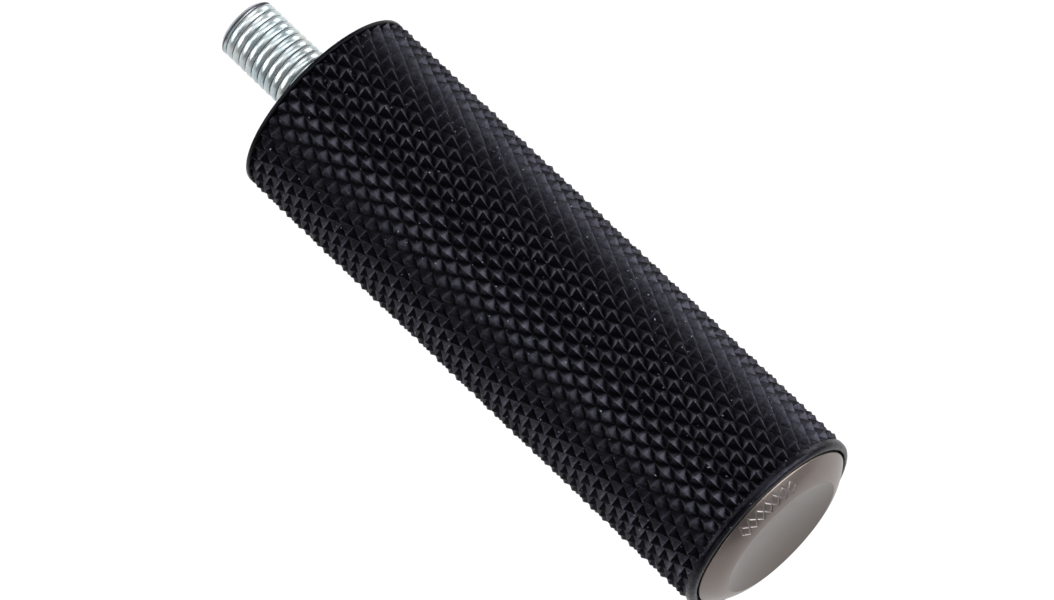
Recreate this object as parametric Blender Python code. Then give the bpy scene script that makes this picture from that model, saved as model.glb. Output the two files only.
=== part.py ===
"""Knurled foot peg that bolts to a motorcycle's shift or brake lever.

Metres, +Z up. +X runs along the peg from the lever to the end cap. The origin is on the
peg's axis, in the plane of the washer face that seats against the lever, so the bolt's
thread reaches into -X.

A rubber sleeve with a diamond knurl slides over a splined aluminium core. A socket-head
bolt passes through the core and a seating washer and into the lever. The end cap screws
into the core, covers the bolt's head and keeps the sleeve on.
"""

import math

import bmesh
import bpy

MM = 0.001
CLEARANCE = 0.3 * MM  # left between pieces that touch, screw together or press on each other
CORE_SIDES = 72
ROUND_SIDES = 36
SMALL_SIDES = 18

# Driving dimensions
GRIP_RADIUS = 12.7 * MM  # over the knurl's points
RIM_X = 75.5 * MM  # outboard end of the peg, the rim round the cap's dish
BOLT_REACH = 13.75 * MM  # thread beyond the seating face
BOLT_LENGTH = 63.5 * MM  # under the head
BOLT_RADIUS = 3.93 * MM  # 5/16 inch thread
BOLT_PITCH = 25.4 / 24 * MM

# Knurl: points in rings, each ring turned half a step from the one before it. The sleeve is
# cut to length through the knurl, so it starts and ends part of the way between two rings.
KNURL_POINTS = 37
KNURL_RING_STEP = 1.5825 * MM
KNURL_DEPTH = 0.92 * MM
KNURL_ROOT = GRIP_RADIUS - KNURL_DEPTH
KNURL_START = 0.325  # in rings
KNURL_LAST_RING = 45
KNURL_END = 45.8
SLEEVE_SIDES = 2 * KNURL_POINTS

# Seating washer
SEAT_RADIUS = 12.44 * MM
SEAT_THICKNESS = 0.5 * MM
SEAT_EDGE = 0.12 * MM

# Core
CORE_RADIUS = 8.6 * MM
CORE_START_X = SEAT_THICKNESS + CLEARANCE
CORE_END_X = 71.9 * MM
CORE_EDGE = 0.4 * MM
BOLT_HOLE_RADIUS = BOLT_RADIUS + 0.32 * MM
COUNTERBORE_RADIUS = 6.6 * MM
TAPPED_RADIUS = 7.3 * MM
TAPPED_START_X = 63.3 * MM

# Splines that stop the sleeve turning on the core
SPLINES = 6
SPLINE_HEIGHT = 0.7 * MM
SPLINE_HALF_ANGLE = 6  # degrees
KEYWAY_HALF_ANGLE = 11
SPLINE_START_X = 3.0 * MM
SPLINE_END_X = 70.0 * MM
SPLINE_SLOPE = 0.4 * MM

# Sleeve
SLEEVE_START_X = CORE_START_X
BORE_RADIUS = CORE_RADIUS + CLEARANCE
LIP_RADIUS = 12.45 * MM
LIP_START_X = 72.85 * MM
LIP_END_X = 73.85 * MM
LIP_ROUND = 0.65 * MM

# Bolt head, 5/16 inch socket-head cap screw, and its washers
HEAD_RADIUS = 5.95 * MM
HEAD_HEIGHT = 7.94 * MM
SOCKET_ACROSS_FLATS = 6.35 * MM
SOCKET_DEPTH = 4.0 * MM
SHANK_RADIUS = 3.88 * MM
THREAD_LENGTH = 19.0 * MM
TIP_CHAMFER = 0.65 * MM
HEAD_X = BOLT_LENGTH - BOLT_REACH
LOCK_WASHER_THICKNESS = 2.0 * MM
FLAT_WASHER_THICKNESS = 1.2 * MM
WASHER_RADIUS = 6.2 * MM
LOCK_WASHER_X = HEAD_X - CLEARANCE - LOCK_WASHER_THICKNESS
FLAT_WASHER_X = LOCK_WASHER_X - CLEARANCE - FLAT_WASHER_THICKNESS
SHOULDER_X = FLAT_WASHER_X - CLEARANCE

# End cap
CAP_RADIUS = 11.33 * MM
CAP_EDGE_X = 73.9 * MM
CAP_BACK_X = 73.3 * MM
CAP_EDGE = 0.08 * MM
SHOULDER = ((75.05 * MM, 9.65 * MM), (75.34 * MM, 9.0 * MM))  # rounds the band into the rim
RIM_RADIUS = 8.3 * MM
DISH_DEPTH = 0.9 * MM
SPIGOT_RADIUS = 7.0 * MM
SPIGOT_PITCH = 1.0 * MM
SPIGOT_END_X = 63.7 * MM
GROOVE_START_X = 69.6 * MM
GROOVE_END_X = 71.7 * MM
GROOVE_RADIUS = 5.6 * MM
CAP_WASHER_RADIUS = 10.6 * MM
CAP_WASHER_THICKNESS = 0.8 * MM
O_RING_CORD = 0.55 * MM
RECESS_RADIUS = CAP_RADIUS + CLEARANCE
WASHER_RECESS_RADIUS = CAP_WASHER_RADIUS + CLEARANCE


def clear_scene():
    """Removes every object that the file started with."""
    for obj in list(bpy.data.objects):
        bpy.data.objects.remove(obj, do_unlink=True)


def material(name, color, roughness, metallic):
    """A Principled material of one colour."""
    made = bpy.data.materials.new(name)
    made.use_nodes = True
    shader = made.node_tree.nodes["Principled BSDF"]
    shader.inputs["Base Color"].default_value = (*color, 1.0)
    shader.inputs["Roughness"].default_value = roughness
    shader.inputs["Metallic"].default_value = metallic
    made.diffuse_color = (*color, 1.0)
    return made


def ring(x, radius, sides):
    """Points round the X axis. radius is a number, or a function of the point's index."""
    points = []
    for index in range(sides):
        angle = 2 * math.pi * index / sides
        r = radius(index) if callable(radius) else radius
        points.append((x, r * math.cos(angle), r * math.sin(angle)))
    return points


def skin(bm, first, second, knurl_row=None):
    """Faces between two rings of vertices. A knurl row is split along the knurl's grooves."""
    count = len(first)
    for index in range(count):
        after = (index + 1) % count
        a, b, c, d = first[index], first[after], second[after], second[index]
        if knurl_row is None:
            bm.faces.new((a, b, c, d))
        elif (knurl_row + index) % 2 == 0:
            bm.faces.new((a, b, d))
            bm.faces.new((b, c, d))
        else:
            bm.faces.new((a, b, c))
            bm.faces.new((a, c, d))


def finish_mesh(bm, name, finish):
    """Turns a closed bmesh into a named object with its material, shaded smooth but for sharp edges."""
    bmesh.ops.recalc_face_normals(bm, faces=bm.faces)
    mesh = bpy.data.meshes.new(name)
    bm.to_mesh(mesh)
    bm.free()
    mesh.shade_smooth()
    mesh.set_sharp_from_angle(angle=math.radians(30))
    obj = bpy.data.objects.new(name, mesh)
    if finish is not None:
        mesh.materials.append(finish)
    bpy.context.scene.collection.objects.link(obj)
    return obj


def tube(name, profile, finish, sides, knurl_rows=0):
    """A body with a bore. The profile's (x, radius) pairs run out along the outside and back
    along the bore, and its last pair joins its first. Knurled rows come first."""
    bm = bmesh.new()
    rings = [[bm.verts.new(point) for point in ring(x, r, sides)] for x, r in profile]
    for row, (first, second) in enumerate(zip(rings, rings[1:] + rings[:1])):
        skin(bm, first, second, row if row < knurl_rows else None)
    return finish_mesh(bm, name, finish)


def bar(name, profile, finish, sides):
    """A solid turned body. The profile's (x, radius) pairs run along the outside, and a flat
    face closes each end."""
    bm = bmesh.new()
    rings = [[bm.verts.new(point) for point in ring(x, r, sides)] for x, r in profile]
    for first, second in zip(rings, rings[1:]):
        skin(bm, first, second)
    bm.faces.new(rings[0])
    bm.faces.new(rings[-1])
    return finish_mesh(bm, name, finish)


def arc(centre_x, centre_r, radius, start, end, steps):
    """(x, radius) pairs on an arc, by the angle in degrees from +X towards the outside."""
    angles = [math.radians(start + (end - start) * i / steps) for i in range(steps + 1)]
    return [(centre_x + radius * math.cos(a), centre_r + radius * math.sin(a)) for a in angles]


def cut(obj, cutter):
    """Subtracts a hidden cutter from an object."""
    cutter.hide_render = True
    cutter.display_type = "WIRE"
    boolean = obj.modifiers.new("Cut", "BOOLEAN")
    boolean.operation = "DIFFERENCE"
    boolean.solver = "EXACT"
    boolean.object = cutter


def thread_cutter(name, radius, pitch, start_x, end_x):
    """A triangular bar wound round the X axis, which cuts a 60 degree thread into a bar."""
    depth = 0.6 * pitch
    outside = 0.15 * pitch  # how far the cutter stands out of the bar
    half_width = (depth + outside) * math.tan(math.radians(30))
    steps = round((end_x - start_x) / pitch * SMALL_SIDES)
    bm = bmesh.new()
    sections = []
    for step in range(steps + 1):
        angle = 2 * math.pi * (step + 0.5) / SMALL_SIDES
        x = start_x + pitch * step / SMALL_SIDES
        outer = radius + outside
        corners = ((x, radius - depth), (x - half_width, outer), (x + half_width, outer))
        sections.append([bm.verts.new((u, r * math.cos(angle), r * math.sin(angle))) for u, r in corners])
    for first, second in zip(sections, sections[1:]):
        skin(bm, first, second)
    bm.faces.new(sections[0])
    bm.faces.new(sections[-1])
    return finish_mesh(bm, name, None)


def hexagon_cutter(name, across_flats, start_x, end_x):
    """A six-sided bar along the X axis."""
    corner_radius = across_flats / math.sqrt(3)
    return bar(name, [(start_x, corner_radius), (end_x, corner_radius)], None, sides=6)


def splined(base, height, half_angle, sides):
    """A radius function with a raised land at each spline."""

    def radius(index):
        spacing = 360 / SPLINES
        angle = 360 * index / sides % spacing
        on_land = min(angle, spacing - angle) < half_angle
        return base + height if on_land else base

    return radius


def knurled(ring_number):
    """A radius function that is alternately a knurl point and a groove crossing, and between
    the two where the ring number is not whole."""
    whole = math.floor(ring_number)
    share = ring_number - whole

    def radius(index):
        height = 1 - share if (whole + index) % 2 == 0 else share
        return KNURL_ROOT + KNURL_DEPTH * height

    return radius


def grip_sleeve(finish):
    numbers = [KNURL_START, *range(1, KNURL_LAST_RING + 1), KNURL_END]
    first_x = SLEEVE_START_X - KNURL_START * KNURL_RING_STEP
    knurl = [(first_x + number * KNURL_RING_STEP, knurled(number)) for number in numbers]
    lip = [(LIP_START_X, LIP_RADIUS)]
    lip += arc(LIP_END_X - LIP_ROUND, LIP_RADIUS - LIP_ROUND, LIP_ROUND, 90, 0, 3)
    bore = splined(BORE_RADIUS, SPLINE_HEIGHT, KEYWAY_HALF_ANGLE, SLEEVE_SIDES)
    inside = [
        (LIP_END_X, RECESS_RADIUS),
        (CAP_BACK_X - CLEARANCE, RECESS_RADIUS),
        (CAP_BACK_X - CLEARANCE, WASHER_RECESS_RADIUS),
        (CORE_END_X, WASHER_RECESS_RADIUS),
        (CORE_END_X, bore),
        (SLEEVE_START_X, bore),
    ]
    profile = knurl + lip + inside
    return tube("grip_sleeve", profile, finish, SLEEVE_SIDES, knurl_rows=len(numbers) - 1)


def core(finish):
    land = splined(CORE_RADIUS, SPLINE_HEIGHT, SPLINE_HALF_ANGLE, CORE_SIDES)
    outside = [
        (CORE_START_X, CORE_RADIUS - CORE_EDGE),
        (CORE_START_X + CORE_EDGE, CORE_RADIUS),
        (SPLINE_START_X, CORE_RADIUS),
        (SPLINE_START_X + SPLINE_SLOPE, land),
        (SPLINE_END_X - SPLINE_SLOPE, land),
        (SPLINE_END_X, CORE_RADIUS),
        (CORE_END_X - CORE_EDGE, CORE_RADIUS),
        (CORE_END_X, CORE_RADIUS - CORE_EDGE),
    ]
    inside = [
        (CORE_END_X, TAPPED_RADIUS + CORE_EDGE),
        (CORE_END_X - CORE_EDGE, TAPPED_RADIUS),
        (TAPPED_START_X, TAPPED_RADIUS),
        (TAPPED_START_X, COUNTERBORE_RADIUS),
        (SHOULDER_X, COUNTERBORE_RADIUS),
        (SHOULDER_X, BOLT_HOLE_RADIUS),
        (CORE_START_X, BOLT_HOLE_RADIUS),
    ]
    return tube("core", outside + inside, finish, CORE_SIDES)


def mounting_bolt(finish):
    tip = -BOLT_REACH
    edge = 0.5 * MM
    profile = [
        (tip, BOLT_RADIUS - TIP_CHAMFER),
        (tip + TIP_CHAMFER, BOLT_RADIUS),
        (tip + THREAD_LENGTH, BOLT_RADIUS),
        (tip + THREAD_LENGTH + edge, SHANK_RADIUS),
        (HEAD_X, SHANK_RADIUS),
        (HEAD_X, HEAD_RADIUS),
        (HEAD_X + HEAD_HEIGHT - edge, HEAD_RADIUS),
        (HEAD_X + HEAD_HEIGHT, HEAD_RADIUS - edge),
    ]
    bolt = bar("mounting_bolt", profile, finish, SMALL_SIDES)
    start_x = tip - BOLT_PITCH
    end_x = tip + THREAD_LENGTH - BOLT_PITCH
    cut(bolt, thread_cutter("bolt_thread_cutter", BOLT_RADIUS, BOLT_PITCH, start_x, end_x))
    socket_floor = HEAD_X + HEAD_HEIGHT - SOCKET_DEPTH
    above_head = HEAD_X + HEAD_HEIGHT + MM
    cut(bolt, hexagon_cutter("socket_cutter", SOCKET_ACROSS_FLATS, socket_floor, above_head))
    return bolt


def plain_washer(name, x, thickness, hole, radius, finish):
    profile = [(x, radius), (x + thickness, radius), (x + thickness, hole), (x, hole)]
    return tube(name, profile, finish, ROUND_SIDES)


def seating_washer(finish):
    profile = [
        (0, SEAT_RADIUS - SEAT_EDGE),
        (SEAT_EDGE, SEAT_RADIUS),
        (SEAT_THICKNESS, SEAT_RADIUS),
        (SEAT_THICKNESS, BOLT_HOLE_RADIUS),
        (0, BOLT_HOLE_RADIUS),
    ]
    return tube("seating_washer", profile, finish, ROUND_SIDES)


def lock_washer(finish):
    """A split ring whose ends are sprung apart along the axis."""
    spring = 0.3 * MM
    stations = 24
    slit = math.radians(8)
    section_height = LOCK_WASHER_THICKNESS - spring
    bm = bmesh.new()
    sections = []
    for step in range(stations + 1):
        share = step / stations
        angle = slit / 2 + (2 * math.pi - slit) * share
        x = LOCK_WASHER_X + spring * share
        corners = (
            (x, BOLT_HOLE_RADIUS),
            (x, WASHER_RADIUS),
            (x + section_height, WASHER_RADIUS),
            (x + section_height, BOLT_HOLE_RADIUS),
        )
        sections.append([bm.verts.new((u, r * math.cos(angle), r * math.sin(angle))) for u, r in corners])
    for first, second in zip(sections, sections[1:]):
        skin(bm, first, second)
    bm.faces.new(sections[0])
    bm.faces.new(sections[-1])
    return finish_mesh(bm, "bolt_lock_washer", finish)


def dish_profile():
    """(x, radius) pairs from the rim to the middle of the cap's shallow round dish."""
    steps = 5
    sphere = (RIM_RADIUS**2 + DISH_DEPTH**2) / (2 * DISH_DEPTH)
    centre_x = RIM_X - DISH_DEPTH + sphere
    inner = 0.12
    pairs = []
    for step in range(steps + 1):
        r = RIM_RADIUS * (1 - (1 - inner) * step / steps)
        pairs.append((centre_x - math.sqrt(sphere**2 - r**2), r))
    return pairs


def end_cap(finish):
    minor = SPIGOT_RADIUS - 0.6 * SPIGOT_PITCH
    profile = [
        (SPIGOT_END_X, minor - CAP_EDGE),
        (SPIGOT_END_X + 0.5 * SPIGOT_PITCH, SPIGOT_RADIUS),
        (GROOVE_START_X, SPIGOT_RADIUS),
        (GROOVE_START_X, GROOVE_RADIUS),
        (GROOVE_END_X, GROOVE_RADIUS),
        (GROOVE_END_X, minor),
        (CAP_BACK_X, minor),
        (CAP_BACK_X, CAP_RADIUS - CAP_EDGE),
        (CAP_BACK_X + CAP_EDGE, CAP_RADIUS),
        (CAP_EDGE_X - CAP_EDGE, CAP_RADIUS),
        (CAP_EDGE_X, CAP_RADIUS - CAP_EDGE),
    ]
    cap = bar("end_cap", profile + list(SHOULDER) + dish_profile(), finish, ROUND_SIDES)
    start_x = SPIGOT_END_X - 0.5 * SPIGOT_PITCH
    end_x = GROOVE_START_X - 0.3 * SPIGOT_PITCH
    cut(cap, thread_cutter("cap_thread_cutter", SPIGOT_RADIUS, SPIGOT_PITCH, start_x, end_x))
    return cap


def cap_o_ring(finish):
    centre_x = (GROOVE_START_X + GROOVE_END_X) / 2
    centre_r = GROOVE_RADIUS + CLEARANCE + O_RING_CORD
    section = arc(centre_x, centre_r, O_RING_CORD, 0, 360, 8)[:-1]
    return tube("cap_o_ring", section, finish, ROUND_SIDES)


def bolt_flat_washer(finish):
    hole = BOLT_HOLE_RADIUS
    return plain_washer(
        "bolt_flat_washer", FLAT_WASHER_X, FLAT_WASHER_THICKNESS, hole, WASHER_RADIUS, finish
    )


def cap_washer(finish):
    x = CORE_END_X + CLEARANCE
    hole = SPIGOT_RADIUS
    return plain_washer("cap_washer", x, CAP_WASHER_THICKNESS, hole, CAP_WASHER_RADIUS, finish)


def main():
    clear_scene()
    rubber = material("black_rubber", (0.018, 0.018, 0.022), 0.6, 0.0)
    anodised = material("black_anodised_aluminium", (0.03, 0.03, 0.035), 0.4, 0.8)
    black_steel = material("black_oxide_steel", (0.05, 0.05, 0.055), 0.4, 0.9)
    titanium = material("titanium_anodised_aluminium", (0.36, 0.33, 0.31), 0.32, 1.0)
    zinc = material("zinc_plated_steel", (0.74, 0.77, 0.78), 0.28, 1.0)
    stainless = material("stainless_steel", (0.62, 0.62, 0.6), 0.3, 1.0)
    nitrile = material("nitrile_rubber", (0.025, 0.025, 0.025), 0.5, 0.0)
    grip_sleeve(rubber)
    core(anodised)
    seating_washer(black_steel)
    mounting_bolt(zinc)
    lock_washer(zinc)
    bolt_flat_washer(zinc)
    cap_washer(stainless)
    end_cap(titanium)
    cap_o_ring(nitrile)


main()
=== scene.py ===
"""Looks of a knurled foot peg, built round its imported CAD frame.

The peg lies along +X with its bolt towards -X. Turned pieces are grids of rings: a ring is
one position along the axis, and its points go round from +Y towards +Z.
"""

import math

import bpy
import numpy as np
from mathutils import Matrix, Vector

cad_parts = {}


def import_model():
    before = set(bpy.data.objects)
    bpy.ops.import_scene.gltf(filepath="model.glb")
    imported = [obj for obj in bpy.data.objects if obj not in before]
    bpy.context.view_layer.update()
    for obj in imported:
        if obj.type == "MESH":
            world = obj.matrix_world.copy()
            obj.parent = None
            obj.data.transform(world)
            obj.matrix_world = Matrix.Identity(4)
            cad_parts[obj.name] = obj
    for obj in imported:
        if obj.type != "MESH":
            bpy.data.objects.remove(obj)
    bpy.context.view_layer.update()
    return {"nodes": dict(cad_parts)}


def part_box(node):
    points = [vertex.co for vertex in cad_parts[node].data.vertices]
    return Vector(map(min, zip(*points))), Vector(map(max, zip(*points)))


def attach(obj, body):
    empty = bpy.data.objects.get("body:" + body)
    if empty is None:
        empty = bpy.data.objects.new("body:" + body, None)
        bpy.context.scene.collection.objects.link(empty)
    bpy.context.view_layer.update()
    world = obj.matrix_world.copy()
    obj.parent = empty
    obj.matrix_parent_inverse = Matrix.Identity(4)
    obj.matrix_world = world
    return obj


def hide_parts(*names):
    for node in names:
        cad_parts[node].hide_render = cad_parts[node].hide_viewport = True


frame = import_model()

MM = 0.001

# Knurl: points in rings, each ring turned half a step from the one before it. The sleeve is
# cut to length through the knurl, so it starts and ends part of the way between two rings.
KNURL_POINTS = 37
KNURL_COLUMNS = 2 * KNURL_POINTS
KNURL_RING_STEP = 1.5825 * MM
KNURL_DEPTH = 0.97 * MM
KNURL_START = 0.325  # in rings, where the sleeve's box starts
SEATED_START = 0.2  # in rings: the soft sleeve is pressed up to the seating washer
KNURL_END = 45.8
RING_SLACK = 0.01  # in rings, against rounding and slivers
CELL_STOPS = (0.0, 0.04, 0.28, 0.5, 0.72, 0.96)  # divisions of a knurl cell, finer at its ridges
RIDGE_ROUND = 0.03  # of the knurl's height, where two of a point's sides meet
GROOVE_ROUND = 0.05  # of the knurl's height, in the grooves
TIP_ROUND = 0.02  # of a cell, at the points
KNURL_UNEVEN = 0.1  # the most that a point falls short of its full height
KNURL_SEED = 5

# Lip of the sleeve and its inside
LIP_GAP = 0.25 * MM  # below the knurl's points
LIP_WIDTH = 1.0 * MM
LIP_ROUND = 0.65 * MM
LIP_SLOPE = 0.02 * MM  # along the axis, where the knurl steps up to the lip
RECESS_RADIUS = 11.63 * MM
RECESS_CHAMFER = 0.05 * MM
BORE_RADIUS = 8.9 * MM

# Bolt
BOLT_COLUMNS = 132
BOLT_RADIUS = 3.92 * MM
BOLT_PITCH = 25.4 / 24 * MM
CREST_ROUND = 0.17 * MM  # how far the thread's crest curves down to its groove
GROOVE_DEPTH = 0.25 * MM
GROOVE_SHAPE = 14  # how narrow the groove is
PAINTED_GLINT_PLACE = -0.8  # from a crest at 0 to the grooves at -1 and 1, where a painted highlight lightens the zinc's colour
PAINTED_GLINT_WIDTH = 0.08
THREAD_START = 0.12 * MM  # past the bolt's end
THREAD_LENGTH = 19.0 * MM
THREAD_ROWS = 440
TIP_CHAMFER = 0.5 * MM
TIP_FACE_RING = 0.6 * MM  # width of the ring round the end's flat face
TIP_EDGE = 0.08 * MM
ROLLED_EDGE_SHADE_WIDTH = 0.13 * MM  # the painted shade line where the tip's chamfer meets the thread
SHANK_RADIUS = 3.87 * MM
HEAD_FILLET = 0.4 * MM  # along the shank
HEAD_FILLET_RADIUS = 4.12 * MM
HEAD_RADIUS = 5.95 * MM
HEAD_HEIGHT = 7.94 * MM
HEAD_EDGE = 0.1 * MM
HEAD_CHAMFER = 0.5 * MM
SOCKET_MOUTH_RADIUS = 4.0 * MM
SOCKET_DEPTH = 4.0 * MM
SOCKET_HALF_WIDTH = 3.175 * MM

# Seating washer
WASHER_COLUMNS = 192
WASHER_EDGE_ROUND = 0.12 * MM
WASHER_HOLE_RADIUS = 4.25 * MM
WASHER_HOLE_CHAMFER = 0.1 * MM

# End cap
CAP_BAND_WIDTH = 1.6 * MM  # along the axis
CAP_EDGE_THICKNESS = 0.6 * MM
CAP_EDGE_ROUND = 0.13 * MM
CAP_EDGE_SHIFT = 0.04 * MM  # of the edge's arc, back from where the band starts
CAP_BACK_RADIUS = 6.4 * MM  # the first ring of its flat back
CAP_FINE_COLUMNS = 216  # over the engraved marks
CAP_COARSE_COLUMNS = 160  # over the rest
BAND_STEPS = 46
BAND_PULL = (-0.23 * MM, 9.58 * MM)  # what the band curves towards: x from the rim, and radius
RIM_RADIUS = 8.3 * MM
RIM_BREAK = (0.012 * MM, 0.07 * MM)  # where the band stops short of the rim: along x, and outwards
RIM_MARGIN = 0.03 * MM  # between the band's colour and the dish's
DISH_DEPTH = 0.9 * MM
DISH_EDGE_RINGS = (0.993, 0.985)  # of the rim's radius, close together to keep the rim crisp
DISH_RINGS = np.linspace(0.975, 0, 38)[:-1]
MARK_COUNT = 7
MARK_PITCH = math.radians(6.9)
MARK_RADIUS = 10.1 * MM
MARK_HALF_WIDTH = 0.6 * MM
MARK_HALF_HEIGHT = 0.75 * MM
MARK_LINE = 0.085 * MM
MARK_DEPTH = 0.06 * MM
MARK_MIDDLE = math.radians(99.75)  # from +Y towards +Z
MARK_CLEARANCE = 0.6 * MM  # from the rim, inside which nothing is engraved
MARK_SECTOR = math.radians(27)  # to each side of the marks, meshed finely

# Camera, from the object's middle
LOOKED_AT_X = 37.0 * MM
CAMERA_HEADING = math.radians(43.56)
CAMERA_ELEVATION = math.radians(65.09)
CAMERA_DISTANCE = 894.7 * MM
CAMERA_OFFSET = (-2.12 * MM, 1.41 * MM)  # to the camera's right, and up
CAMERA_LENS = 267.74
SENSOR_WIDTH = 36.0

# Softboxes: azimuth and elevation in degrees, width and height, and watts
SOFTBOXES = {
    "key": (35, 26, 1.3, 0.7, 22.0),
    "key_above": (60, 54, 0.7, 0.5, 5.0),
    "right": (100, 6, 0.9, 0.5, 6.0),
    "back": (150, 36, 0.7, 0.7, 5.0),
    "left": (235, 18, 0.9, 0.7, 11.0),
    "left_above": (216, 54, 0.6, 0.6, 5.0),
    "front": (320, 6, 0.6, 0.4, 2.0),
    "overhead": (90, 84, 0.8, 0.8, 4.0),
}
SOFTBOX_DISTANCE = 1.2
WORLD_STRENGTH = 0.015
FLOOR_RADIUS = 0.78
FLOOR_HEIGHT = -0.25


# ---------------------------------------------------------------- meshes


def mesh_object(name, points, faces, attributes=()):
    """An object from arrays of points and triangles, with named numbers on its points."""
    mesh = bpy.data.meshes.new(name)
    mesh.vertices.add(len(points))
    mesh.vertices.foreach_set("co", np.asarray(points, np.float32).ravel())
    faces = np.asarray(faces, np.int32)
    mesh.loops.add(faces.size)
    mesh.loops.foreach_set("vertex_index", faces.ravel())
    mesh.polygons.add(len(faces))
    mesh.polygons.foreach_set("loop_start", np.arange(0, faces.size, 3, dtype=np.int32))
    mesh.update(calc_edges=True)
    mesh.validate()
    for key, values in attributes:
        made = mesh.attributes.new(key, "FLOAT", "POINT")
        made.data.foreach_set("value", np.asarray(values, np.float32).ravel())
    mesh.shade_smooth()
    obj = bpy.data.objects.new(name, mesh)
    bpy.context.scene.collection.objects.link(obj)
    return obj


def grid_points(x, r, angle):
    """(rows, columns, 3) points on rings round the X axis. Arguments broadcast together."""
    x, r, angle = np.broadcast_arrays(x, r, angle)
    return np.stack((x, r * np.cos(angle), r * np.sin(angle)), axis=-1)


def grid_faces(rows, columns, closed_rows=False, flip=None):
    """Triangles over a grid whose columns go right round. flip marks the quads that split
    along the other diagonal."""
    row = np.arange(rows if closed_rows else rows - 1)[:, None]
    column = np.arange(columns)[None, :]
    after_row = (row + 1) % rows
    after_column = (column + 1) % columns
    a = row * columns + column
    b = row * columns + after_column
    c = after_row * columns + after_column
    d = after_row * columns + column
    if flip is None:
        flip = np.zeros(a.shape, bool)
    first = np.where(flip[..., None], np.stack((a, b, c), -1), np.stack((a, b, d), -1))
    second = np.where(flip[..., None], np.stack((a, c, d), -1), np.stack((b, c, d), -1))
    return np.concatenate((first.reshape(-1, 3), second.reshape(-1, 3)))


def fan(ring_start, columns, hub, reverse):
    """Triangles from a ring's points to one point on the axis."""
    here = ring_start + np.arange(columns)
    after = ring_start + (np.arange(columns) + 1) % columns
    hubs = np.full(columns, hub)
    return np.stack((after, here, hubs) if reverse else (here, after, hubs), -1)


def arc(centre_x, centre_r, radius, start, end, steps):
    """(x, radius) pairs on an arc, by the angle in degrees from +X towards the outside."""
    angles = np.radians(np.linspace(start, end, steps + 1))
    return [(centre_x + radius * math.cos(a), centre_r + radius * math.sin(a)) for a in angles]


def even_angles(columns):
    return np.linspace(0, 2 * math.pi, columns, endpoint=False)[None, :]


def turned_rows(profile, columns):
    """x and radius arrays with one row for each (x, radius) pair."""
    pairs = np.array(profile)
    return np.repeat(pairs[:, :1], columns, 1), np.repeat(pairs[:, 1:], columns, 1)


def tube(name, profile, columns):
    """A turned body with a bore, from a closed profile of (x, radius) pairs."""
    x, r = turned_rows(profile, columns)
    points = grid_points(x, r, even_angles(columns))
    faces = grid_faces(len(profile), columns, closed_rows=True)
    return mesh_object(name, points.reshape(-1, 3), faces)


def solid(name, x, r, angle, attributes):
    """A turned body without a bore, its ends closed by fans to the axis. The attributes are
    pairs of a name and its values over the grid."""
    rows, columns = x.shape
    count = rows * columns
    hubs = [(x[0, 0], 0, 0), (x[-1, 0], 0, 0)]
    points = np.concatenate((grid_points(x, r, angle).reshape(-1, 3), hubs))
    ends = (fan(0, columns, count, True), fan(count - columns, columns, count + 1, False))
    faces = np.concatenate((grid_faces(rows, columns), *ends))
    values = [(key, np.append(grid.ravel(), [0, 0])) for key, grid in attributes]
    return mesh_object(name, points, faces, values)


def mark_sharp(obj, degrees):
    obj.data.set_sharp_from_angle(angle=math.radians(degrees))


# ---------------------------------------------------------------- pieces


def knurl_height(ring, column):
    """Height of the knurl from 0 in a groove to 1 at a point, by ring and column number.
    Two families of grooves run along the helices where ring plus or minus column is odd."""
    slopes = []
    for turn in ((ring + column) / 2, (ring - column) / 2):
        away = turn - np.round(turn)
        slopes.append(1 - 2 * (np.sqrt(away**2 + TIP_ROUND**2) - TIP_ROUND / 2))
    difference = slopes[0] - slopes[1]
    lower = (slopes[0] + slopes[1] - np.sqrt(difference**2 + RIDGE_ROUND**2)) / 2
    return (lower + np.sqrt(lower**2 + GROOVE_ROUND**2)) / 2


def point_heights(ring, column):
    """Full height of the knurl point that each place belongs to: they were moulded unevenly."""
    first, second = np.round((ring + column) / 2), np.round((ring - column) / 2)
    row = (first + second).astype(int)
    place = np.mod(first - second, KNURL_COLUMNS).astype(int)
    shortfall = np.random.default_rng(KNURL_SEED).random((row.max() + 1, KNURL_COLUMNS))
    return 1 - KNURL_UNEVEN * shortfall[row, place]


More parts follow.
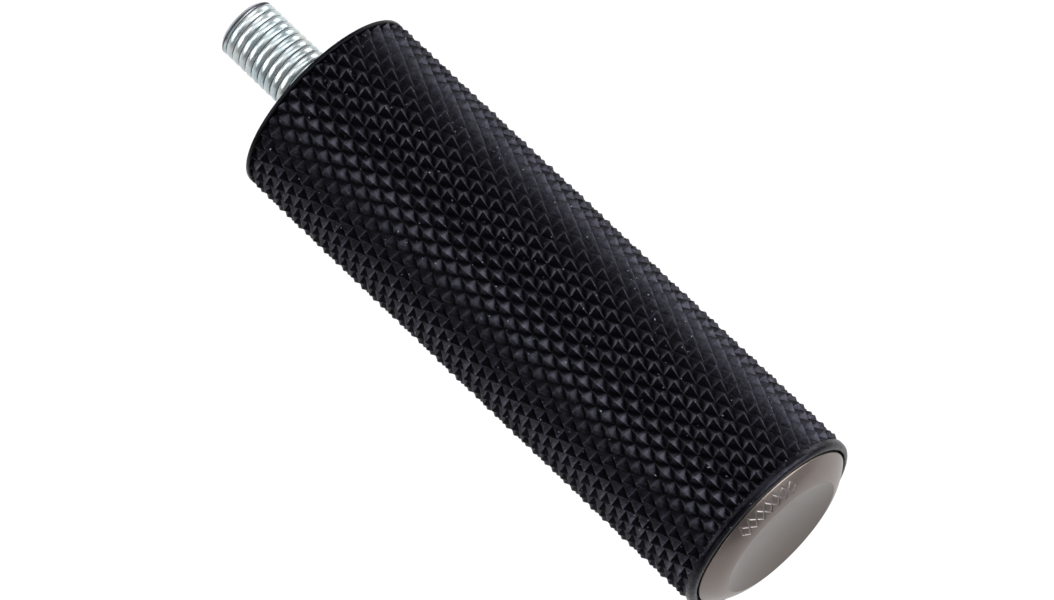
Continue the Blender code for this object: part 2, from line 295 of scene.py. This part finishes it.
def knurled_sleeve():
    low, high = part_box("grip_sleeve")
    radius = high.z
    stops = np.array(CELL_STOPS)
    ring = (np.arange(math.ceil(KNURL_END))[:, None] + stops).ravel()
    ring = ring[(ring > SEATED_START + RING_SLACK) & (ring < KNURL_END - RING_SLACK)]
    ring = np.concatenate(([SEATED_START], ring, [KNURL_END]))[:, None]
    column = (np.arange(KNURL_COLUMNS)[:, None] + stops).ravel()[None, :]
    columns = column.shape[1]
    height = knurl_height(ring, column) * point_heights(ring, column)
    knurl_x = low.x + (ring - KNURL_START) * KNURL_RING_STEP
    knurl_r = radius - KNURL_DEPTH * (1 - height)
    lip_x, lip_r = high.x, radius - LIP_GAP
    step_x = lip_x - LIP_WIDTH
    rest = [(step_x + LIP_SLOPE, lip_r)]
    rest += arc(lip_x - LIP_ROUND, lip_r - LIP_ROUND, LIP_ROUND, 90, 0, 10)
    rest += [(lip_x, RECESS_RADIUS + RECESS_CHAMFER), (lip_x - RECESS_CHAMFER, RECESS_RADIUS)]
    rest += [(step_x, RECESS_RADIUS), (step_x, BORE_RADIUS), (low.x, BORE_RADIUS)]
    rest_x, rest_r = turned_rows(rest, columns)
    x = np.concatenate((np.broadcast_to(knurl_x, height.shape), rest_x))
    r = np.concatenate((knurl_r, rest_r))
    angle = column * 2 * math.pi / KNURL_COLUMNS
    flip = np.zeros(x.shape, bool)
    flip[: len(ring)] = (np.floor(ring + RING_SLACK) + np.floor(column)) % 2 == 1
    faces = grid_faces(*x.shape, closed_rows=True, flip=flip)
    crest = np.zeros(x.shape)
    crest[: len(ring)] = height
    smooth = np.ones(x.shape)
    smooth[: len(ring) - 1] = 0
    points = grid_points(x, r, angle).reshape(-1, 3)
    obj = mesh_object("knurled_sleeve", points, faces, [("crest", crest), ("smooth", smooth)])
    mark_sharp(obj, 60)
    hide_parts("grip_sleeve")
    return obj


def zinc_bolt():
    """Round crests and narrow grooves, as on a worn rolled thread."""
    low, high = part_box("mounting_bolt")
    angle = even_angles(BOLT_COLUMNS)
    tip_r = BOLT_RADIUS - TIP_CHAMFER
    tip = [(low.x, tip_r - TIP_FACE_RING), (low.x, tip_r), (low.x + TIP_EDGE, tip_r + TIP_EDGE)]
    end_x, end_r = turned_rows(tip, BOLT_COLUMNS)
    away = np.linspace(THREAD_START, THREAD_LENGTH, THREAD_ROWS)[:, None]
    turn = away / BOLT_PITCH - angle / (2 * math.pi)
    past_crest = 2 * (turn - np.round(turn))
    from_crest = np.abs(past_crest)
    in_groove = from_crest**GROOVE_SHAPE
    depth = CREST_ROUND * from_crest**2 + GROOVE_DEPTH * in_groove
    runout = np.clip((THREAD_LENGTH - away) / BOLT_PITCH, 0, 1)
    thread_r = np.minimum(BOLT_RADIUS - depth * runout, tip_r + away)
    thread_x = np.repeat(low.x + away, BOLT_COLUMNS, 1)
    under_head, top = high.x - HEAD_HEIGHT, high.x
    head = [(under_head - HEAD_FILLET, SHANK_RADIUS), (under_head, HEAD_FILLET_RADIUS)]
    head += [(under_head, HEAD_RADIUS - HEAD_EDGE), (under_head + HEAD_EDGE, HEAD_RADIUS)]
    head += [(top - HEAD_CHAMFER, HEAD_RADIUS), (top, HEAD_RADIUS - HEAD_CHAMFER)]
    head += [(top, SOCKET_MOUTH_RADIUS)]
    head_x, head_r = turned_rows(head, BOLT_COLUMNS)
    corner = np.mod(angle, math.pi / 3) - math.pi / 6
    socket_r = np.repeat(SOCKET_HALF_WIDTH / np.cos(corner), 2, 0)
    socket_x, _ = turned_rows([(top, 0), (top - SOCKET_DEPTH, 0)], BOLT_COLUMNS)
    x = np.concatenate((end_x, thread_x, head_x, socket_x))
    r = np.concatenate((end_r, thread_r, head_r, socket_r))
    on_thread = slice(len(tip), len(tip) + len(away))
    # painted shade: the thread's grooves, and the crease where the tip's chamfer meets the thread,
    # are darkened in colour
    rolled_edge_shade = np.exp(-(((away - TIP_CHAMFER) / ROLLED_EDGE_SHADE_WIDTH) ** 2))
    groove = np.zeros(x.shape)
    groove[on_thread] = np.maximum(in_groove * runout, rolled_edge_shade)
    # painted highlight: a thin near-white line on the flank just past each groove, towards the tip
    painted_glint = np.zeros(x.shape)
    painted_glint[on_thread] = np.exp(-(((past_crest - PAINTED_GLINT_PLACE) / PAINTED_GLINT_WIDTH) ** 2))
    obj = solid("zinc_bolt", x, r, angle, [("groove", groove), ("painted_glint", painted_glint)])
    mark_sharp(obj, 55)
    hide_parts("mounting_bolt")
    return obj


def black_washer():
    low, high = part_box("seating_washer")
    edge = WASHER_EDGE_ROUND
    hole, chamfer = WASHER_HOLE_RADIUS, WASHER_HOLE_CHAMFER
    profile = arc(high.x - edge, high.z - edge, edge, 0, 90, 4)
    profile += arc(low.x + edge, high.z - edge, edge, 90, 180, 4)
    profile += [(low.x, hole + chamfer), (low.x + chamfer, hole), (high.x, hole)]
    obj = tube("black_washer", profile[::-1], WASHER_COLUMNS)
    mark_sharp(obj, 35)
    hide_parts("seating_washer")
    return obj


def lozenge_mark(radius, angle):
    """1 on the lines of a chain of small lozenges on the cap's sloping band, else 0."""
    along = (angle - MARK_MIDDLE) / MARK_PITCH
    number = np.clip(np.round(along), -(MARK_COUNT // 2), MARK_COUNT // 2)
    u = np.abs(along - number) * MARK_PITCH * MARK_RADIUS / MARK_HALF_WIDTH
    v = np.abs(radius - MARK_RADIUS) / MARK_HALF_HEIGHT
    scale = 1 / math.hypot(1 / MARK_HALF_WIDTH, 1 / MARK_HALF_HEIGHT)
    return np.clip(1.5 - np.abs(u + v - 1) * scale / MARK_LINE, 0, 1)


def cap_angles():
    """Angles round the cap, closer together at the engraved marks."""
    start, end = MARK_MIDDLE - MARK_SECTOR, MARK_MIDDLE + MARK_SECTOR
    fine = np.linspace(start, end, CAP_FINE_COLUMNS, endpoint=False)
    coarse = np.linspace(end, start + 2 * math.pi, CAP_COARSE_COLUMNS, endpoint=False)
    return np.concatenate((fine, coarse))[None, :]


def blend(first, middle, last, steps):
    """(x, radius) pairs on a smooth curve from first to last, drawn towards middle."""
    pairs = []
    for t in np.linspace(0, 1, steps + 1):
        weights = ((1 - t) ** 2, 2 * t * (1 - t), t**2)
        pairs.append(tuple(np.dot(weights, np.array((first, middle, last)))))
    return pairs


def dished_cap():
    """The cap's disc with its band and dish. Its spigot is out of sight and left out."""
    _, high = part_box("end_cap")
    outer = high.z
    rim_x = high.x
    edge_x = rim_x - CAP_BAND_WIDTH
    back_x = edge_x - CAP_EDGE_THICKNESS
    round_over = CAP_EDGE_ROUND
    back = [(back_x, CAP_BACK_RADIUS), (back_x, outer - round_over), (back_x + round_over, outer)]
    edge = arc(edge_x - CAP_EDGE_SHIFT, outer - round_over, round_over, 90, 40, 5)
    band_end = (rim_x - RIM_BREAK[0], RIM_RADIUS + RIM_BREAK[1])
    band_pull = (rim_x + BAND_PULL[0], BAND_PULL[1])
    band = blend(edge[-1], band_pull, band_end, BAND_STEPS)[1:]
    sphere = (RIM_RADIUS**2 + DISH_DEPTH**2) / (2 * DISH_DEPTH)
    centre_x = rim_x - DISH_DEPTH + sphere
    dish_r = RIM_RADIUS * np.concatenate((DISH_EDGE_RINGS, DISH_RINGS))
    dish = [(centre_x - math.sqrt(sphere**2 - r**2), r) for r in dish_r]
    profile = back + edge + band + [(rim_x, RIM_RADIUS)] + dish
    angle = cap_angles()
    x, r = turned_rows(profile, angle.shape[1])
    marks = lozenge_mark(r, angle) * (r > RIM_RADIUS + MARK_CLEARANCE)
    on_band = (r > RIM_RADIUS + RIM_MARGIN).astype(float)
    traits = [("mark", marks), ("band", on_band)]
    obj = solid("dished_cap", x - marks * MARK_DEPTH, r, angle, traits)
    mark_sharp(obj, 35)
    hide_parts("end_cap")
    return obj


# ---------------------------------------------------------------- materials


class Shader:
    """A Principled material under construction."""

    def __init__(self, name):
        self.material = bpy.data.materials.new(name)
        self.material.use_nodes = True
        self.tree = self.material.node_tree
        self.surface = self.tree.nodes["Principled BSDF"]
        self.place = self.tree.nodes.new("ShaderNodeTexCoord").outputs["Object"]

    def node(self, kind, inputs=(), **settings):
        """A node with its settings, and its inputs linked or filled in by name or number."""
        made = self.tree.nodes.new(kind)
        for key, value in settings.items():
            setattr(made, key, value)
        for key, value in dict(inputs).items():
            self.fill(made.inputs[key], value)
        return made

    def fill(self, socket, value):
        if isinstance(value, bpy.types.NodeSocket):
            self.tree.links.new(value, socket)
        elif isinstance(value, tuple) and socket.type == "RGBA":
            socket.default_value = (*value, 1.0)
        else:
            socket.default_value = value

    def set(self, key, value):
        self.fill(self.surface.inputs[key], value)

    def noise(self, scale, detail=4.0, stretch=(1.0, 1.0, 1.0)):
        """Noise from 0 to 1, at a scale in cycles per metre."""
        place = self.node("ShaderNodeMapping", {"Vector": self.place, "Scale": stretch})
        inputs = {"Vector": place.outputs["Vector"], "Scale": scale, "Detail": detail}
        return self.node("ShaderNodeTexNoise", inputs).outputs["Fac"]

    def attribute(self, name):
        return self.node("ShaderNodeAttribute", attribute_name=name).outputs["Fac"]

    def spread(self, source, low, high, start, end):
        """source between low and high, carried to the range from start to end."""
        inputs = {"Value": source, "From Min": low, "From Max": high}
        inputs |= {"To Min": start, "To Max": end}
        return self.node("ShaderNodeMapRange", inputs).outputs["Result"]

    def mix(self, factor, first, second):
        """A colour between two. Inputs 6 and 7 and output 2 are the node's colour sockets."""
        inputs = {"Factor": factor, 6: first, 7: second}
        return self.node("ShaderNodeMix", inputs, data_type="RGBA").outputs[2]

    def times(self, first, second):
        inputs = {0: first, 1: second}
        return self.node("ShaderNodeMath", inputs, operation="MULTIPLY").outputs[0]

    def bump(self, source, strength, distance):
        inputs = {"Strength": strength, "Distance": distance, "Height": source}
        self.set("Normal", self.node("ShaderNodeBump", inputs).outputs["Normal"])


def knurl_rubber():
    """Black rubber, moulded a little unevenly, with paler crests that are partly wear and partly a
    painted highlight, painted shade in the grooves through a lower specular level, and a few
    specks.
    """
    made = Shader("knurl_rubber")
    grain = made.noise(9000.0, detail=3.0)
    uneven = made.noise(1100.0, detail=3.0)
    crest = made.attribute("crest")
    # paler crests: partly wear on the points, partly a painted highlight where the ridges catch the
    # light
    wear_and_highlight = made.spread(crest, 0.7, 1.0, 0.0, 1.0)
    wear_and_highlight = made.times(wear_and_highlight, made.spread(made.noise(900.0), 0.35, 0.7, 0.1, 1.0))
    base = made.mix(made.noise(220.0), (0.0006, 0.0006, 0.001), (0.0012, 0.0012, 0.002))
    base = made.mix(wear_and_highlight, base, (0.006, 0.006, 0.008))
    speck = made.spread(made.noise(2600.0, detail=1.0), 0.77, 0.79, 0.0, 1.0)
    made.set("Base Color", made.mix(speck, base, (0.25, 0.27, 0.32)))
    made.set("Roughness", made.spread(grain, 0.3, 0.7, 0.24, 0.36))
    shine = made.spread(made.noise(1500.0), 0.3, 0.7, 0.22, 0.43)
    # painted shade: the specular level drops towards the grooves, standing in for the points
    # shading one another
    shine = made.times(shine, made.spread(crest, 0.05, 0.45, 0.5, 1.05))
    shine = made.times(shine, made.spread(crest, 0.85, 1.0, 1.0, 0.6))
    duller = made.spread(made.attribute("smooth"), 0.0, 1.0, 1.0, 0.95)
    made.set("Specular IOR Level", made.times(shine, duller))
    made.set("Specular Tint", (0.77, 0.76, 1.0))
    made.bump(made.mix(0.3, uneven, grain), 0.8, 0.09 * MM)
    return made.material


def bright_zinc():
    made = Shader("bright_zinc")
    cloud = made.noise(420.0)
    streak = made.noise(2600.0, stretch=(1.0, 0.25, 0.25))
    blotch = made.spread(cloud, 0.35, 0.65, 0.0, 1.0)
    base = made.mix(blotch, (0.41, 0.49, 0.52), (0.53, 0.56, 0.55))
    # painted highlight: the flank just past each groove is painted near white
    base = made.mix(made.times(made.attribute("painted_glint"), 0.8), base, (0.95, 0.95, 1.0))
    # painted shade: the grooves and the crease by the tip are painted nearly black
    groove = made.spread(made.attribute("groove"), 0.08, 0.45, 0.0, 0.95)
    made.set("Base Color", made.mix(groove, base, (0.025, 0.022, 0.04)))
    made.set("Metallic", 0.72)
    made.set("Roughness", made.spread(streak, 0.3, 0.7, 0.24, 0.36))
    made.bump(streak, 0.2, 0.01 * MM)
    return made.material


def titanium_anodise():
    made = Shader("titanium_anodise")
    cloud = made.noise(150.0)
    grain = made.noise(14000.0, detail=2.0)
    band = made.mix(cloud, (0.158, 0.134, 0.124), (0.184, 0.156, 0.144))
    dish = made.mix(cloud, (0.098, 0.081, 0.073), (0.112, 0.093, 0.084))
    base = made.mix(made.attribute("band"), dish, band)
    made.set("Base Color", made.mix(made.attribute("mark"), base, (0.18, 0.168, 0.17)))
    made.set("Metallic", 1.0)
    made.set("Roughness", made.spread(grain, 0.3, 0.7, 0.3, 0.42))
    made.bump(grain, 0.12, 0.01 * MM)
    return made.material


def plain_metal(name, light, dark, roughness):
    """A metal with soft blotches and fine scratches."""
    made = Shader(name)
    made.set("Base Color", made.mix(made.noise(500.0), light, dark))
    made.set("Metallic", 1.0)
    scratches = made.noise(5000.0, stretch=(1.0, 0.1, 1.0))
    made.set("Roughness", made.spread(scratches, 0.3, 0.7, roughness, roughness + 0.15))
    made.bump(scratches, 0.15, 0.01 * MM)
    return made.material


def seal_rubber():
    made = Shader("seal_rubber")
    grain = made.noise(7000.0)
    made.set("Base Color", made.mix(grain, (0.012, 0.012, 0.012), (0.022, 0.022, 0.022)))
    made.set("Roughness", made.spread(grain, 0.3, 0.7, 0.4, 0.6))
    made.bump(grain, 0.2, 0.01 * MM)
    return made.material


# ---------------------------------------------------------------- assembly


def dress(obj, finish):
    obj.data.materials.append(finish)
    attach(obj, "root")


def dress_node(name, finish):
    for place in frame["nodes"][name].material_slots:
        place.material = finish


rubber = knurl_rubber()
zinc = bright_zinc()
oxide = plain_metal("black_oxide", (0.01, 0.01, 0.0125), (0.005, 0.005, 0.007), 0.36)
anodise = plain_metal("black_anodise", (0.03, 0.03, 0.033), (0.02, 0.02, 0.023), 0.4)
steel = plain_metal("bright_steel", (0.6, 0.6, 0.58), (0.5, 0.5, 0.49), 0.25)

dress(knurled_sleeve(), rubber)
dress(zinc_bolt(), zinc)
dress(black_washer(), oxide)
dress(dished_cap(), titanium_anodise())
dress_node("core", anodise)
dress_node("bolt_lock_washer", zinc)
dress_node("bolt_flat_washer", zinc)
dress_node("cap_washer", steel)
dress_node("cap_o_ring", seal_rubber())


# ---------------------------------------------------------------- studio


def direction(azimuth, elevation):
    """Unit vector by its angles in degrees."""
    azimuth, elevation = math.radians(azimuth), math.radians(elevation)
    level = math.cos(elevation)
    return Vector((level * math.cos(azimuth), level * math.sin(azimuth), math.sin(elevation)))


def camera():
    back = direction(-math.degrees(CAMERA_HEADING), math.degrees(CAMERA_ELEVATION))
    right = Vector((math.sin(CAMERA_HEADING), math.cos(CAMERA_HEADING), 0))
    up = back.cross(right)
    data = bpy.data.cameras.new("camera")
    data.lens = CAMERA_LENS
    data.sensor_width = SENSOR_WIDTH
    data.clip_start = 0.01
    made = bpy.data.objects.new("camera", data)
    aim = Vector((LOOKED_AT_X, 0, 0)) + CAMERA_OFFSET[0] * right + CAMERA_OFFSET[1] * up
    turn = Matrix((right, up, back)).transposed()
    made.matrix_world = Matrix.Translation(aim + CAMERA_DISTANCE * back) @ turn.to_4x4()
    bpy.context.scene.collection.objects.link(made)
    bpy.context.scene.camera = made


def softbox(name, azimuth, elevation, width, height, power):
    """A rectangular area light aimed at the object's middle."""
    data = bpy.data.lights.new(name, "AREA")
    data.shape = "RECTANGLE"
    data.size, data.size_y = width, height
    data.energy = power
    made = bpy.data.objects.new(name, data)
    out = direction(azimuth, elevation)
    made.location = Vector((LOOKED_AT_X, 0, 0)) + SOFTBOX_DISTANCE * out
    made.rotation_euler = out.to_track_quat("Z", "Y").to_euler()
    bpy.context.scene.collection.objects.link(made)


def floor():
    columns = 128
    angle = even_angles(columns)[0]
    edge = np.stack((np.cos(angle), np.sin(angle), np.zeros(columns)), -1) * FLOOR_RADIUS
    points = np.concatenate((edge, [(0, 0, 0)])) + (LOOKED_AT_X, 0, FLOOR_HEIGHT)
    obj = mesh_object("floor", points, fan(0, columns, columns, False))
    made = Shader("floor_paper")
    made.set("Base Color", made.mix(made.noise(40.0), (0.6, 0.6, 0.6), (0.62, 0.62, 0.62)))
    made.set("Roughness", 0.9)
    made.set("Specular IOR Level", 0.0)
    obj.data.materials.append(made.material)


def world():
    """Dim where it lights the peg, and pale where the camera sees past the floor."""
    made = bpy.data.worlds.new("studio")
    made.use_nodes = True
    tree = made.node_tree
    seen = tree.nodes.new("ShaderNodeLightPath").outputs["Is Camera Ray"]
    strength = tree.nodes.new("ShaderNodeMapRange")
    strength.inputs["To Min"].default_value = WORLD_STRENGTH
    tree.links.new(seen, strength.inputs["Value"])
    background = tree.nodes["Background"]
    background.inputs["Color"].default_value = (1.0, 1.0, 1.0, 1.0)
    tree.links.new(strength.outputs["Result"], background.inputs["Strength"])
    bpy.context.scene.world = made


camera()
floor()
world()
for name, box in SOFTBOXES.items():
    softbox(name, *box)
bpy.context.scene.view_settings.view_transform = "Standard"

bpy.context.view_layer.update()
